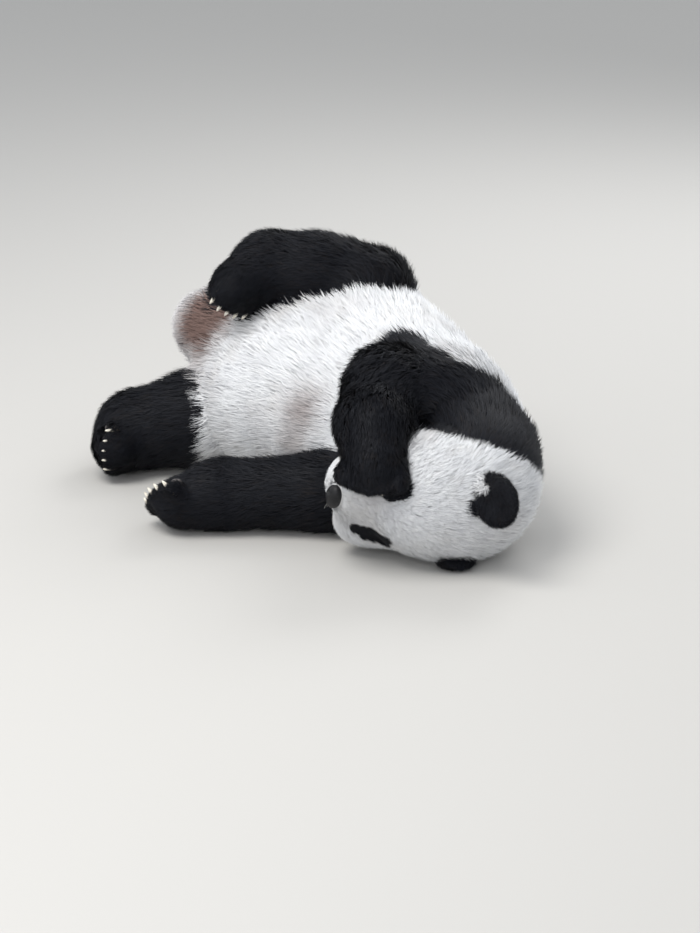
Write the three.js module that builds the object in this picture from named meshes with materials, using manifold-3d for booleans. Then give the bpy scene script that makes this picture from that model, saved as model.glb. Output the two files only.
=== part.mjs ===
// A giant panda lying on its left side on level ground, life size, in millimetres, +Z up.
// The head is bowed to the chest, the right forepaw lies over the muzzle, the right hind leg is
// folded along the flank, and both left legs lie on the ground. The outline is that of the coat.
// The body is one smooth field, turned into faces, and parted by thin cuts into its named parts.

import * as THREE from 'three';
import Module from 'manifold-3d';

const wasm = await Module();
wasm.setup();

// ---------- Driving dimensions, in millimetres ----------

const CUT_GAP = 0.4;            // width of the thin cut between two parts
const SOCKET_GAP = 0.7;         // room round a claw, eye or nose in the flesh
const BODY_CELL = 63;           // spacing of the faces on the trunk and upper legs
const FINE_CELL = 32;           // spacing of the faces on the head and paws
const EAR_CELL = 20;              // spacing of the faces on the ears
const CUTTER_CELL = 54;         // spacing of the faces of the cutting surfaces
const CUT_TOLERANCE = 0.08;      // slivers thinner than this along a cut are closed up
const TWIN_DISTANCE = 0.003;     // vertices nearer than this are drawn apart
const FAR = 900;                // larger than any part, for cutting boxes

const TOE_COUNT = 5;
const FORE_TOE = { spread: 26, reach: 44, radius: 22 };
const HIND_TOE = { spread: 20, reach: 38, radius: 20 };
const FORE_CLAW = { length: 42, radius: 9.5, bend: 14, buried: 4 };
const TUCKED_CLAW = { length: 36, radius: 6.5, bend: 11, buried: 4 };  // on the face, in fur
const HIND_CLAW = { length: 36, radius: 8.5, bend: 11, buried: 4 };
const CLAW_FLATNESS = 0.72;     // a claw's width over its height
const CLAW_SIDES = 6;
const CLAW_RINGS = 4;

const EYE_RADIUS = 11;
const EYE_DEPTH = 12;           // from the coat's tips down to the front of the eye
const LID_OPENING = { along: 15, across: 9 };

// Joints of the spine and legs: where each lies, and the body's radius there, coat included.
const SPINE = [
  { at: [-190, 580, 225], radius: 150 },
  { at: [-95, 528, 212], radius: 196 },
  { at: [0, 440, 200], radius: 198 },
  { at: [72, 305, 190], radius: 184 },
  { at: [150, 140, 175], radius: 170 },
  { at: [218, 20, 156], radius: 145 },
];
const COLLAR_WAY = [0.35, -0.93, -0.1];      // up the neck, across its lower edge
const RIGHT_FORELEG = {
  shoulder: { at: [194, 70, 254], radius: 96 },
  elbow: { at: [72, 15, 298], radius: 88 },
  wrist: { at: [42, -92, 264], radius: 72 },
  paw: { at: [46, -160, 213], radius: 56 },
};
const LEFT_FORELEG = {
  shoulder: { at: [115, 60, 88], radius: 90 },
  elbow: { at: [-40, 72, 76], radius: 80 },
  wrist: { at: [-246, 78, 68], radius: 69 },
  paw: { at: [-320, 58, 58], radius: 54 },
};
const RIGHT_HIND_LEG = {
  hip: { at: [-90, 560, 262], radius: 140 },
  knee: { at: [42, 454, 370], radius: 90 },
  hock: { at: [-160, 452, 414], radius: 78 },
  paw: { at: [-224, 380, 400], radius: 54 },
};
const RIGHT_CALF = { at: [-62, 453, 404], radii: [120, 82, 90] };
const LEFT_HIND_LEG = {
  hip: { at: [-130, 480, 130], radius: 150 },
  knee: { at: [-300, 440, 106], radius: 107 },
  hock: { at: [-438, 425, 82], radius: 82 },
  paw: { at: [-466, 364, 70], radius: 58 },
};

// The head's own frame: its middle lies between the ears, and its axes point to the nose,
// to the animal's right and to the crown.
const HEAD_SIZE = 1.04;         // applied to every place and radius given in its frame
const HEAD_MIDDLE = new THREE.Vector3(186, -88, 116);
const NOSE_WAY = new THREE.Vector3(-0.96, -0.269, 0.074).normalize();
const RIGHT_WAY = new THREE.Vector3(0.21, -0.525, 0.825)
  .projectOnPlane(NOSE_WAY).normalize();
const CROWN_WAY = new THREE.Vector3().crossVectors(RIGHT_WAY, NOSE_WAY);
const EYE_PLACE = { forward: 120, side: 50, up: 20 };
const NOSE_PLACE = { forward: 212, up: -14 };
const NOSE_RADII = [20, 27, 17];
const EAR_PLACE = { forward: -34, side: 112, up: 86 };
const EAR_RADII = [24, 44, 54];

// ---------- Fields: functions of a point, negative inside the shape ----------

const vector = ([x, y, z]) => new THREE.Vector3(x, y, z);

/** A point given in the head's frame, brought into the model's frame. */
function headPoint(forward, side, up) {
  return HEAD_MIDDLE.clone()
    .addScaledVector(NOSE_WAY, forward * HEAD_SIZE)
    .addScaledVector(RIGHT_WAY, side * HEAD_SIZE)
    .addScaledVector(CROWN_WAY, up * HEAD_SIZE);
}

/** Three unit axes, turned about the vertical. */
function turnedAxes(degrees) {
  const angle = THREE.MathUtils.degToRad(degrees);
  return [
    new THREE.Vector3(Math.cos(angle), Math.sin(angle), 0),
    new THREE.Vector3(-Math.sin(angle), Math.cos(angle), 0),
    new THREE.Vector3(0, 0, 1),
  ];
}

/** A rounded mass with three radii along three axes. */
function mass(middle, radii, axes = turnedAxes(0)) {
  const offset = new THREE.Vector3();
  return (point) => {
    offset.subVectors(point, middle);
    let near = 0;
    let steep = 0;
    for (let i = 0; i < 3; i += 1) {
      const along = offset.dot(axes[i]) / radii[i];
      near += along * along;
      steep += (along / radii[i]) ** 2;
    }
    near = Math.sqrt(near);
    return (near * (near - 1)) / (Math.sqrt(steep) + 1e-9);
  };
}

/** A tapered round length between two joints. */
function bone(from, to) {
  const start = vector(from.at);
  const way = vector(to.at).sub(start);
  const offset = new THREE.Vector3();
  return (point) => {
    offset.subVectors(point, start);
    const along = THREE.MathUtils.clamp(offset.dot(way) / way.lengthSq(), 0, 1);
    offset.addScaledVector(way, -along);
    return offset.length() - THREE.MathUtils.lerp(from.radius, to.radius, along);
  };
}

/** Shapes melted together, with a fillet of about the given size. */
function blend(fillet, ...fields) {
  return (point) => fields.slice(1).reduce((sum, field) => {
    const next = field(point);
    const share = THREE.MathUtils.clamp(0.5 + (0.5 * (next - sum)) / fillet, 0, 1);
    return THREE.MathUtils.lerp(next, sum, share) - fillet * share * (1 - share);
  }, fields[0](point));
}

/** Shapes simply put together. */
const nearest = (fields) => (point) => Math.min(...fields.map((field) => field(point)));

function bonesThrough(joints) {
  return joints.slice(1).map((joint, i) => bone(joints[i], joint));
}

// ---------- The body's fields ----------

function trunkField() {
  const belly = mass(vector([-95, 345, 160]), [190, 140, 160], turnedAxes(-20));
  const brisket = mass(vector([10, 215, 140]), [150, 110, 135], turnedAxes(-20));
  const nape = mass(vector([235, -70, 140]), [115, 110, 118], turnedAxes(-30));
  const spine = blend(60, ...bonesThrough(SPINE));
  return blend(50, blend(80, spine, belly, brisket), nape);
}

function headField() {
  const axes = [NOSE_WAY, RIGHT_WAY, CROWN_WAY];
  const part = (place, radii) => mass(
    headPoint(...place),
    radii.map((radius) => radius * HEAD_SIZE),
    axes,
  );
  const cheeks = [1, -1].map((side) => part([42, side * 58, -28], [92, 66, 78]));
  const skull = part([-5, 0, 5], [125, 122, 106]);
  const forehead = part([68, 0, 22], [82, 80, 66]);
  const muzzle = part([146, 0, -28], [78, 68, 55]);
  const pressedCheek = part([126, -80, -20], [70, 56, 50]);
  const chin = part([142, 0, -60], [68, 54, 40]);
  return blend(25, blend(40, skull, ...cheeks, forehead, muzzle, pressedCheek), chin);
}

function earAxes(side) {
  const outward = NOSE_WAY.clone().multiplyScalar(0.62)
    .addScaledVector(RIGHT_WAY, side * 0.5)
    .addScaledVector(CROWN_WAY, 0.3).normalize();
  const across = new THREE.Vector3().crossVectors(outward, CROWN_WAY).normalize();
  return [outward, across, new THREE.Vector3().crossVectors(across, outward)];
}

/** The right ear stands up; the left one is folded flat between the head and the ground. */
function rightEarField() {
  const { forward, side, up } = EAR_PLACE;
  return mass(headPoint(forward, side, up), EAR_RADII, earAxes(1));
}

function leftEarField() {
  return mass(vector([194, -138, 16]), [42, 35, 17], turnedAxes(10));
}

/** Where a paw's toes lie: across its width, each with a root and a tip. */
function toesOf(paw, toe) {
  const middle = (TOE_COUNT - 1) / 2;
  return Array.from({ length: TOE_COUNT }, (_, i) => {
    const step = i - middle;
    const reach = toe.reach * (1 - 0.06 * step * step);
    const root = vector(paw.at).addScaledVector(paw.across, step * toe.spread * 0.7);
    const tip = root.clone().addScaledVector(paw.across, step * toe.spread * 0.3)
      .addScaledVector(paw.ahead, reach);
    return { root, tip, radius: toe.radius };
  });
}

function toeFields(paw, toe) {
  return toesOf(paw, toe).map(({ root, tip, radius }) => bone(
    { at: root.toArray(), radius: radius * 1.15 },
    { at: tip.toArray(), radius },
  ));
}

/** A paw's directions: ahead along the toes, palm out of the sole, across to its last toe. */
function pawFrame(place, aheadWay, palmWay) {
  const ahead = vector(aheadWay).normalize();
  const palm = vector(palmWay).projectOnPlane(ahead).normalize();
  const across = new THREE.Vector3().crossVectors(palm, ahead);
  return { ...place, ahead, across, palm };
}

const PAWS = {
  foreleg_right: pawFrame(RIGHT_FORELEG.paw, [-0.2, -0.6, -0.62], [0.14, 0.69, -0.67]),
  foreleg_left: pawFrame(LEFT_FORELEG.paw, [-0.85, -0.2, 0.35], [-0.1, 0.6, 0.8]),
  hindleg_right: pawFrame(RIGHT_HIND_LEG.paw, [-0.3, -0.45, -0.8], [-0.6, 0.5, -0.5]),
  hindleg_left: pawFrame(LEFT_HIND_LEG.paw, [-0.38, -0.9, 0.1], [-0.85, -0.4, 0.1]),
};

function legField(joints, paw, toe, calf) {
  const muscles = calf ? [mass(vector(calf.at), calf.radii)] : [];
  const limb = blend(25, ...bonesThrough(Object.values(joints)), ...muscles);
  return blend(14, limb, ...toeFields(paw, toe));
}

const FIELDS = {
  trunk: trunkField(),
  head: headField(),
  ear_right: rightEarField(),
  ear_left: leftEarField(),
  tail: mass(vector([-302, 588, 262]), [66, 74, 68], turnedAxes(15)),
  foreleg_right: legField(RIGHT_FORELEG, PAWS.foreleg_right, FORE_TOE),
  foreleg_left: legField(LEFT_FORELEG, PAWS.foreleg_left, FORE_TOE),
  hindleg_right: legField(RIGHT_HIND_LEG, PAWS.hindleg_right, HIND_TOE, RIGHT_CALF),
  hindleg_left: legField(LEFT_HIND_LEG, PAWS.hindleg_left, HIND_TOE),
};
const BODY = nearest(Object.values(FIELDS));

// ---------- From a field to faces ----------

/** Moves a point along the field's slope to where the field is zero. */
function settle(point, field, furthest) {
  const step = 1;
  for (let turn = 0; turn < 3; turn += 1) {
    const value = field(point);
    if (Math.abs(value) > furthest) return;
    const slope = new THREE.Vector3();
    for (const axis of ['x', 'y', 'z']) {
      const beside = point.clone();
      beside[axis] += step;
      slope[axis] = (field(beside) - value) / step;
    }
    const steepness = slope.lengthSq();
    if (steepness < 0.05) return;
    point.addScaledVector(slope, -value / steepness);
  }
}

/**
 * The surface where a field is zero, inside a box, closed where it meets the box.
 * Each cell that the surface crosses gets one vertex, and each crossed edge one four-sided face.
 */
function surfaceOf(field, box, cell) {
  const size = box.getSize(new THREE.Vector3());
  const [nx, ny, nz] = size.toArray().map((length) => Math.ceil(length / cell) + 3);
  const place = (i, j, k) => new THREE.Vector3(i - 1, j - 1, k - 1)
    .multiplyScalar(cell).add(box.min);
  const index = (i, j, k) => (i * ny + j) * nz + k;
  const values = new Float64Array(nx * ny * nz);
  for (let i = 0; i < nx; i += 1) {
    for (let j = 0; j < ny; j += 1) {
      for (let k = 0; k < nz; k += 1) {
        const rim = i === 0 || j === 0 || k === 0 || i === nx - 1 || j === ny - 1 || k === nz - 1;
        const value = field(place(i, j, k));
        values[index(i, j, k)] = rim ? Math.max(value, cell / 4) : value;
      }
    }
  }

  const vertices = [];
  const vertexOfCell = new Map();
  for (let i = 0; i < nx - 1; i += 1) {
    for (let j = 0; j < ny - 1; j += 1) {
      for (let k = 0; k < nz - 1; k += 1) {
        const vertex = cellVertex(values, index, place, i, j, k);
        if (vertex) {
          vertexOfCell.set(index(i, j, k), vertices.length);
          settle(vertex, field, cell);
          vertices.push(vertex);
        }
      }
    }
  }

  const faces = [];
  const along = [[1, 0, 0], [0, 1, 0], [0, 0, 1]];
  for (let i = 0; i < nx - 1; i += 1) {
    for (let j = 0; j < ny - 1; j += 1) {
      for (let k = 0; k < nz - 1; k += 1) {
        for (let a = 0; a < 3; a += 1) {
          const here = values[index(i, j, k)];
          const there = values[index(i + along[a][0], j + along[a][1], k + along[a][2])];
          if ((here < 0) === (there < 0)) continue;
          const u = along[(a + 1) % 3];
          const v = along[(a + 2) % 3];
          const around = [[1, 1], [0, 1], [0, 0], [1, 0]].map(([s, t]) => vertexOfCell.get(index(
            i - s * u[0] - t * v[0],
            j - s * u[1] - t * v[1],
            k - s * u[2] - t * v[2],
          )));
          if (here >= 0) around.reverse();
          faces.push(...twoTriangles(around, vertices));
        }
      }
    }
  }
  return { vertices, faces };
}

/** The middle of the places where a cell's twelve edges cross the surface. */
function cellVertex(values, index, place, i, j, k) {
  const middle = new THREE.Vector3();
  let crossings = 0;
  for (let corner = 0; corner < 8; corner += 1) {
    for (let bit = 1; bit < 8; bit *= 2) {
      if (corner & bit) continue;
      const ends = [corner, corner | bit].map((c) => [i + (c & 1), j + ((c >> 1) & 1), k + (c >> 2)]);
      const [near, far] = ends.map((end) => values[index(...end)]);
      if ((near < 0) !== (far < 0)) {
        middle.add(place(...ends[0]).lerp(place(...ends[1]), near / (near - far)));
        crossings += 1;
      }
    }
  }
  return crossings ? middle.divideScalar(crossings) : null;
}

/** A four-sided face split along its shorter diagonal. */
function twoTriangles([a, b, c, d], vertices) {
  const short = vertices[a].distanceTo(vertices[c]) <= vertices[b].distanceTo(vertices[d]);
  return short ? [a, b, c, a, c, d] : [a, b, d, b, c, d];
}

function solidOf({ vertices, faces }) {
  const mesh = new wasm.Mesh({
    numProp: 3,
    vertProperties: Float32Array.from(vertices.flatMap((vertex) => vertex.toArray())),
    triVerts: Uint32Array.from(faces),
  });
  return new wasm.Manifold(mesh);
}

/** The same surface with every vertex moved out along its normal. */
function swollen({ vertices, faces }, distance) {
  const normals = vertices.map(() => new THREE.Vector3());
  const side = new THREE.Vector3();
  const other = new THREE.Vector3();
  for (let i = 0; i < faces.length; i += 3) {
    const [a, b, c] = faces.slice(i, i + 3);
    side.subVectors(vertices[b], vertices[a]);
    other.subVectors(vertices[c], vertices[a]);
    side.cross(other);
    [a, b, c].forEach((corner) => normals[corner].add(side));
  }
  const moved = vertices.map((vertex, i) => vertex.clone()
    .addScaledVector(normals[i].normalize(), distance));
  return { vertices: moved, faces };
}

// ---------- Cutting the body into its parts ----------

const boxOf = (low, high) => new THREE.Box3(vector(low), vector(high));
const EAR_RIGHT_BOX = boxOf([130, -340, 80], [330, -130, 270]);
const EAR_LEFT_BOX = boxOf([60, -270, -40], [270, -80, 80]);
const TAIL_BOX = boxOf([-420, 460, 140], [-180, 720, 370]);
const HEAD_BOX = boxOf([-110, -330, -60], [360, 80, 300]);

function boxAround(joints, margin) {
  const box = new THREE.Box3();
  joints.forEach(({ at, radius }) => {
    box.expandByPoint(vector(at).addScalar(radius + margin));
    box.expandByPoint(vector(at).addScalar(-radius - margin));
  });
  return box;
}

function geometrySolid(geometry, matrix) {
  const flat = geometry.toNonIndexed().applyMatrix4(matrix);
  const position = flat.getAttribute('position');
  const seen = new Map();
  const vertices = [];
  const faces = [];
  for (let i = 0; i < position.count; i += 1) {
    const vertex = new THREE.Vector3().fromBufferAttribute(position, i);
    const key = vertex.toArray().map((value) => value.toFixed(3)).join();
    if (!seen.has(key)) {
      seen.set(key, vertices.length);
      vertices.push(vertex);
    }
    faces.push(seen.get(key));
  }
  if (matrix.determinant() < 0) faces.reverse();
  return solidOf({ vertices, faces });
}

/** Everything on one side of a plane, as a large box whose near face is the plane. */
function beyondPlane(point, way) {
  const turn = new THREE.Quaternion().setFromUnitVectors(new THREE.Vector3(0, 0, 1), way);
  const middle = point.clone().addScaledVector(way, FAR);
  const matrix = new THREE.Matrix4().compose(middle, turn, new THREE.Vector3(1, 1, 1));
  return geometrySolid(new THREE.BoxGeometry(2 * FAR, 2 * FAR, 2 * FAR), matrix);
}

function splitByPlane(solid, point, way) {
  const shifted = point.clone().addScaledVector(way, -CUT_GAP);
  return {
    beyond: solid.intersect(beyondPlane(point, way)),
    before: solid.subtract(beyondPlane(shifted, way)),
  };
}

/** The largest single body of a cut piece, without the chips beside it. */
function mainPiece(solid) {
  return solid.decompose().reduce((best, piece) => (piece.volume() > best.volume() ? piece : best));
}

const GROUND = beyondPlane(new THREE.Vector3(0, 0, 0), new THREE.Vector3(0, 0, 1));

function bodyInside(box, cell) {
  return solidOf(surfaceOf(BODY, box, cell)).intersect(GROUND);
}

/** The space that lies nearer to one part of the body than to the parts still to be cut. */
function territory(name, later, box) {
  const own = FIELDS[name];
  const others = nearest(later.map((key) => FIELDS[key]));
  const surface = surfaceOf((point) => own(point) - others(point), box, CUTTER_CELL);
  return { inner: solidOf(surface), outer: solidOf(swollen(surface, CUT_GAP)) };
}

// ---------- Claws, eyes and nose ----------

/** A curved tapering claw, closed at its root and tip, and wider all round by the margin. */
function clawSurface(root, ahead, palm, { length, radius, bend }, margin = 0) {
  const vertices = [root.clone().addScaledVector(ahead, -margin)];
  const faces = [];
  const across = new THREE.Vector3().crossVectors(palm, ahead);
  for (let ring = 0; ring < CLAW_RINGS; ring += 1) {
    const along = ring / CLAW_RINGS;
    const middle = root.clone().addScaledVector(ahead, length * along - (ring ? 0 : margin))
      .addScaledVector(palm, bend * along * along);
    const height = radius * (1 - along) ** 0.7;
    for (let side = 0; side < CLAW_SIDES; side += 1) {
      const angle = (2 * Math.PI * side) / CLAW_SIDES;
      vertices.push(middle.clone()
        .addScaledVector(across, (CLAW_FLATNESS * height + margin) * Math.cos(angle))
        .addScaledVector(palm, (height + margin) * Math.sin(angle)));
    }
  }
  vertices.push(root.clone().addScaledVector(ahead, length + 2 * margin)
    .addScaledVector(palm, bend + margin));
  const tip = vertices.length - 1;
  for (let side = 0; side < CLAW_SIDES; side += 1) {
    const next = (side + 1) % CLAW_SIDES;
    faces.push(0, 1 + next, 1 + side);
    for (let ring = 0; ring < CLAW_RINGS - 1; ring += 1) {
      const here = 1 + ring * CLAW_SIDES;
      const after = here + CLAW_SIDES;
      faces.push(here + side, here + next, after + side);
      faces.push(here + next, after + next, after + side);
    }
    const last = 1 + (CLAW_RINGS - 1) * CLAW_SIDES;
    faces.push(last + side, last + next, tip);
  }
  return { vertices, faces };
}

function clawsOf(legName, claw, toe) {
  const paw = PAWS[legName];
  return toesOf(paw, toe).map(({ tip }, i) => {
    const root = tip.clone().addScaledVector(paw.ahead, -claw.buried)
      .addScaledVector(paw.palm, -6);
    const way = paw.ahead.clone().addScaledVector(paw.palm, 0.1).normalize();
    return {
      name: `claw_${legName}_${i + 1}`,
      solid: solidOf(clawSurface(root, way, paw.palm, claw)),
      socket: solidOf(clawSurface(root, way, paw.palm, claw, SOCKET_GAP)),
    };
  });
}

function ball(middle, radius, scale = [1, 1, 1], axes = turnedAxes(0), detail = 12) {
  const matrix = new THREE.Matrix4().makeBasis(...axes)
    .scale(vector(scale)).setPosition(middle);
  return geometrySolid(new THREE.SphereGeometry(radius, detail, detail / 2), matrix);
}

/** An eye, and the lidded opening in the coat that leads down to it. */
function eyeParts(side) {
  const { forward, side: aside, up } = EYE_PLACE;
  const look = NOSE_WAY.clone().multiplyScalar(0.55)
    .addScaledVector(RIGHT_WAY, side * 0.5)
    .addScaledVector(CROWN_WAY, 0.67).normalize();
  const onCoat = headPoint(forward, side * aside, up);
  const toCoat = new THREE.Vector3();
  while (FIELDS.head(onCoat) < 0) onCoat.addScaledVector(look, 1);
  toCoat.copy(onCoat).addScaledVector(look, -(EYE_DEPTH + EYE_RADIUS));
  const slant = new THREE.Vector3().crossVectors(look, RIGHT_WAY).normalize();
  const axes = [look, slant, new THREE.Vector3().crossVectors(look, slant)];
  const opening = ball(
    onCoat,
    1,
    [EYE_DEPTH + EYE_RADIUS * 0.6, LID_OPENING.along, LID_OPENING.across],
    axes,
  );
  return {
    solid: ball(toCoat, EYE_RADIUS),
    socket: ball(toCoat, EYE_RADIUS + SOCKET_GAP).add(opening),
  };
}

function noseParts() {
  const axes = [NOSE_WAY, RIGHT_WAY, CROWN_WAY];
  const middle = headPoint(NOSE_PLACE.forward, 0, NOSE_PLACE.up);
  return {
    solid: ball(middle, 1, NOSE_RADII, axes),
    socket: ball(middle, 1, NOSE_RADII.map((radius) => radius + SOCKET_GAP), axes),
  };
}

// ---------- Assembly ----------

const COATS = {
  white: { color: 0xe9e7e2, roughness: 0.9 },
  black: { color: 0x16161a, roughness: 0.85 },
  rust: { color: 0x9c7466, roughness: 0.9 },
  horn: { color: 0xe8dfc8, roughness: 0.45 },
  wet: { color: 0x0b0a0a, roughness: 0.15 },
  leather: { color: 0x1b1a1c, roughness: 0.55 },
};

const panda = new THREE.Group();

/** Draws apart vertices that a cut has left in one place, each towards its own neighbours. */
function partTwins(positions, faces) {
  const count = positions.length / 3;
  const points = Array.from({ length: count }, (_, i) => vector(positions.slice(3 * i, 3 * i + 3)));
  const neighbours = points.map(() => new Set());
  for (let i = 0; i < faces.length; i += 3) {
    const corners = faces.slice(i, i + 3);
    corners.forEach((corner) => corners.forEach((other) => neighbours[corner].add(other)));
  }
  points.forEach((point, i) => {
    const twinned = points.some((other, j) => j !== i && other.distanceTo(point) < TWIN_DISTANCE);
    if (!twinned) return;
    const middle = new THREE.Vector3();
    neighbours[i].forEach((j) => middle.add(points[j]));
    middle.divideScalar(neighbours[i].size).sub(point).setLength(10 * TWIN_DISTANCE);
    positions.set(point.clone().add(middle).toArray(), 3 * i);
  });
}

function addPart(name, solid, coat) {
  const { vertProperties, triVerts } = mainPiece(solid).simplify(CUT_TOLERANCE).getMesh();
  partTwins(vertProperties, triVerts);
  const geometry = new THREE.BufferGeometry();
  geometry.setAttribute('position', new THREE.BufferAttribute(vertProperties, 3));
  geometry.setIndex(new THREE.BufferAttribute(triVerts, 1));
  geometry.computeVertexNormals();
  const material = new THREE.MeshStandardMaterial({ ...COATS[coat], metalness: 0 });
  const mesh = new THREE.Mesh(geometry, material);
  mesh.name = name;
  panda.add(mesh);
}

const sockets = [];   // what is let into the flesh, each a little larger than what it holds

function addInlay(name, { solid, socket }, coat) {
  addPart(name, solid, coat);
  sockets.push(socket);
}

function withSockets(solid) {
  return sockets.reduce((rest, socket) => rest.subtract(socket), solid);
}

const waiting = new Set(Object.keys(FIELDS));
const claimed = [];

/**
 * Takes one part's territory out of the body, clear of the parts taken before it. What it gives
 * is a function of a face spacing, so that a leg's paw can be finer than the rest of it.
 */
function claim(name, box) {
  waiting.delete(name);
  const before = [...claimed];
  const own = waiting.size ? territory(name, [...waiting], box) : null;
  if (own) claimed.push(own.outer);
  return (cell, within = box) => {
    const body = bodyInside(within, cell);
    const piece = own ? body.intersect(own.inner) : body;
    return withSockets(before.reduce((rest, taken) => rest.subtract(taken), piece));
  };
}

/** A leg, split at its middle joint and at the wrist or hock. */
function addLeg(name, joints, coats) {
  const [top, bend, ankle, paw] = Object.values(joints).map(({ at }) => vector(at));
  const box = boxAround(Object.values(joints), 60);
  const upperWay = bend.clone().sub(top).normalize();
  const lowerWay = ankle.clone().sub(bend).normalize();
  const pawWay = paw.clone().sub(ankle).normalize();
  const bendWay = upperWay.add(lowerWay).normalize();
  const ankleWay = lowerWay.clone().add(pawWay).normalize();
  const take = claim(name, box);
  const atBend = splitByPlane(take(BODY_CELL), bend, bendWay);
  const fineBend = splitByPlane(take(FINE_CELL), bend, bendWay);
  const atAnkle = splitByPlane(mainPiece(atBend.beyond), ankle, ankleWay);
  const fineAnkle = splitByPlane(mainPiece(fineBend.beyond), ankle, ankleWay);
  addPart(`${name}_upper`, atBend.before, coats[0]);
  addPart(`${name}_lower`, atAnkle.before, coats[1]);
  addPart(`${name}_paw`, fineAnkle.beyond, coats[2]);
}

function addTrunk() {
  const box = boxAround([...SPINE, { at: [-95, 345, 160], radius: 190 }], 40);
  const whole = claim('trunk', box)(BODY_CELL);
  const waist = vector(SPINE[3].at);
  const collar = vector(SPINE[5].at);
  const waistWay = collar.clone().sub(waist).normalize();
  const collarWay = vector(COLLAR_WAY).normalize();
  const atWaist = splitByPlane(whole, waist, waistWay);
  const atCollar = splitByPlane(mainPiece(atWaist.beyond), collar, collarWay);
  addPart('abdomen', atWaist.before, 'white');
  addPart('chest', atCollar.before, 'black');
  addPart('neck', atCollar.beyond, 'white');
}

for (const [legName, claw, toe] of [
  ['foreleg_right', TUCKED_CLAW, FORE_TOE],
  ['foreleg_left', FORE_CLAW, FORE_TOE],
  ['hindleg_right', HIND_CLAW, HIND_TOE],
  ['hindleg_left', HIND_CLAW, HIND_TOE],
]) {
  for (const part of clawsOf(legName, claw, toe)) addInlay(part.name, part, 'horn');
}
addInlay('eye_right', eyeParts(1), 'wet');
addInlay('eye_left', eyeParts(-1), 'wet');
addInlay('nose', noseParts(), 'leather');

addPart('ear_right', claim('ear_right', EAR_RIGHT_BOX)(EAR_CELL), 'black');
addPart('ear_left', claim('ear_left', EAR_LEFT_BOX)(EAR_CELL), 'black');
addPart('tail', claim('tail', TAIL_BOX)(BODY_CELL), 'rust');
addLeg('foreleg_right', RIGHT_FORELEG, ['black', 'black', 'black']);
addLeg('foreleg_left', LEFT_FORELEG, ['black', 'black', 'black']);
addLeg('hindleg_right', RIGHT_HIND_LEG, ['black', 'black', 'black']);
addLeg('hindleg_left', LEFT_HIND_LEG, ['black', 'black', 'black']);
addPart('head', claim('head', HEAD_BOX)(FINE_CELL), 'white');
addTrunk();

/** The origin is on the ground, under the middle of the whole animal. */
function standOnOrigin(group) {
  const bounds = new THREE.Box3().setFromObject(group);
  const middle = bounds.getCenter(new THREE.Vector3());
  group.position.set(-middle.x, -middle.y, -bounds.min.z);
  group.updateMatrixWorld(true);
}

standOnOrigin(panda);

export default panda;
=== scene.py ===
"""A giant panda lying on its left side: one skin, a coat of locks, claws, nose and eyes."""
import math

import bmesh
import bpy
import numpy as np
import openvdb as vdb
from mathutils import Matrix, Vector


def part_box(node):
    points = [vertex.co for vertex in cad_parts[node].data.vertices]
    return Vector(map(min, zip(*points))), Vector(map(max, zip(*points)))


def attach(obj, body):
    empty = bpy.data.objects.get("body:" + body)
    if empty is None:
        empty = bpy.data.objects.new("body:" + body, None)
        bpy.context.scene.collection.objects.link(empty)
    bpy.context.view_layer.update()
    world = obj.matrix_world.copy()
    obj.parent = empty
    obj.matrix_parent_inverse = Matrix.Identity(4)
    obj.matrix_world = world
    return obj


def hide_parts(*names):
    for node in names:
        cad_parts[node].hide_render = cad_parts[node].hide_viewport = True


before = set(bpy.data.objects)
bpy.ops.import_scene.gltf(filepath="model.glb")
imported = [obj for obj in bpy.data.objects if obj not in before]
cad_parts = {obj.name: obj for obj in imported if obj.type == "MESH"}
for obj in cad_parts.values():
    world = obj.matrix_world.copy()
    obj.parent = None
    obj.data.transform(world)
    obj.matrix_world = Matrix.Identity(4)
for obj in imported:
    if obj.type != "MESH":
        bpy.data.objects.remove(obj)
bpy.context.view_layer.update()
RNG = np.random.default_rng(20)

# ---------- The pose: millimetres, +Z up ----------

# Joints of the spine and legs: each one's place, and the radius of the body there.
SPINE = (
    ((-190, 580, 225), 150),
    ((-95, 528, 212), 196),
    ((0, 440, 200), 198),
    ((72, 305, 190), 184),
    ((150, 140, 175), 170),
    ((218, 20, 156), 145),
)
LEGS = {
    "foreleg_right": (
        ((194, 70, 254), 96), ((72, 15, 298), 88), ((42, -92, 264), 72), ((46, -160, 213), 56),
    ),
    "foreleg_left": (
        ((115, 60, 88), 90), ((-40, 72, 76), 80), ((-246, 78, 68), 69), ((-320, 58, 58), 54),
    ),
    "hindleg_right": (
        ((-90, 560, 262), 140), ((42, 454, 370), 90), ((-160, 452, 414), 78),
        ((-224, 380, 400), 54),
    ),
    "hindleg_left": (
        ((-130, 480, 130), 150), ((-300, 440, 106), 107), ((-438, 425, 82), 82),
        ((-466, 364, 70), 58),
    ),
}
CALVES = {  # a fuller part of a leg: its middle and radii
    "hindleg_right": ((-62, 453, 404), (120, 82, 90)),
}
TOE_COUNT = 5
FORE_TOE = {"spread": 26, "reach": 44, "radius": 22}
HIND_TOE = {"spread": 20, "reach": 38, "radius": 20}
FORE_CLAW = {"length": 42, "radius": 9.5, "bend": 14, "buried": 4}
TUCKED_CLAW = {"length": 36, "radius": 6.5, "bend": 11, "buried": 4}
HIND_CLAW = {"length": 36, "radius": 8.5, "bend": 11, "buried": 4}
HORN_SHARES = {  # of the plain claw's size
    "foreleg_right": 0.7, "foreleg_left": 0.8, "hindleg_right": 0.94, "hindleg_left": 0.84,
}
CLAW_FLATNESS = 0.72
JOINT_FILLET = 45


def unit(v):
    v = np.asarray(v, float)
    return v / np.linalg.norm(v)


def norms(rows):
    """The length of each row."""
    return np.linalg.norm(rows, axis=1)


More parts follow.
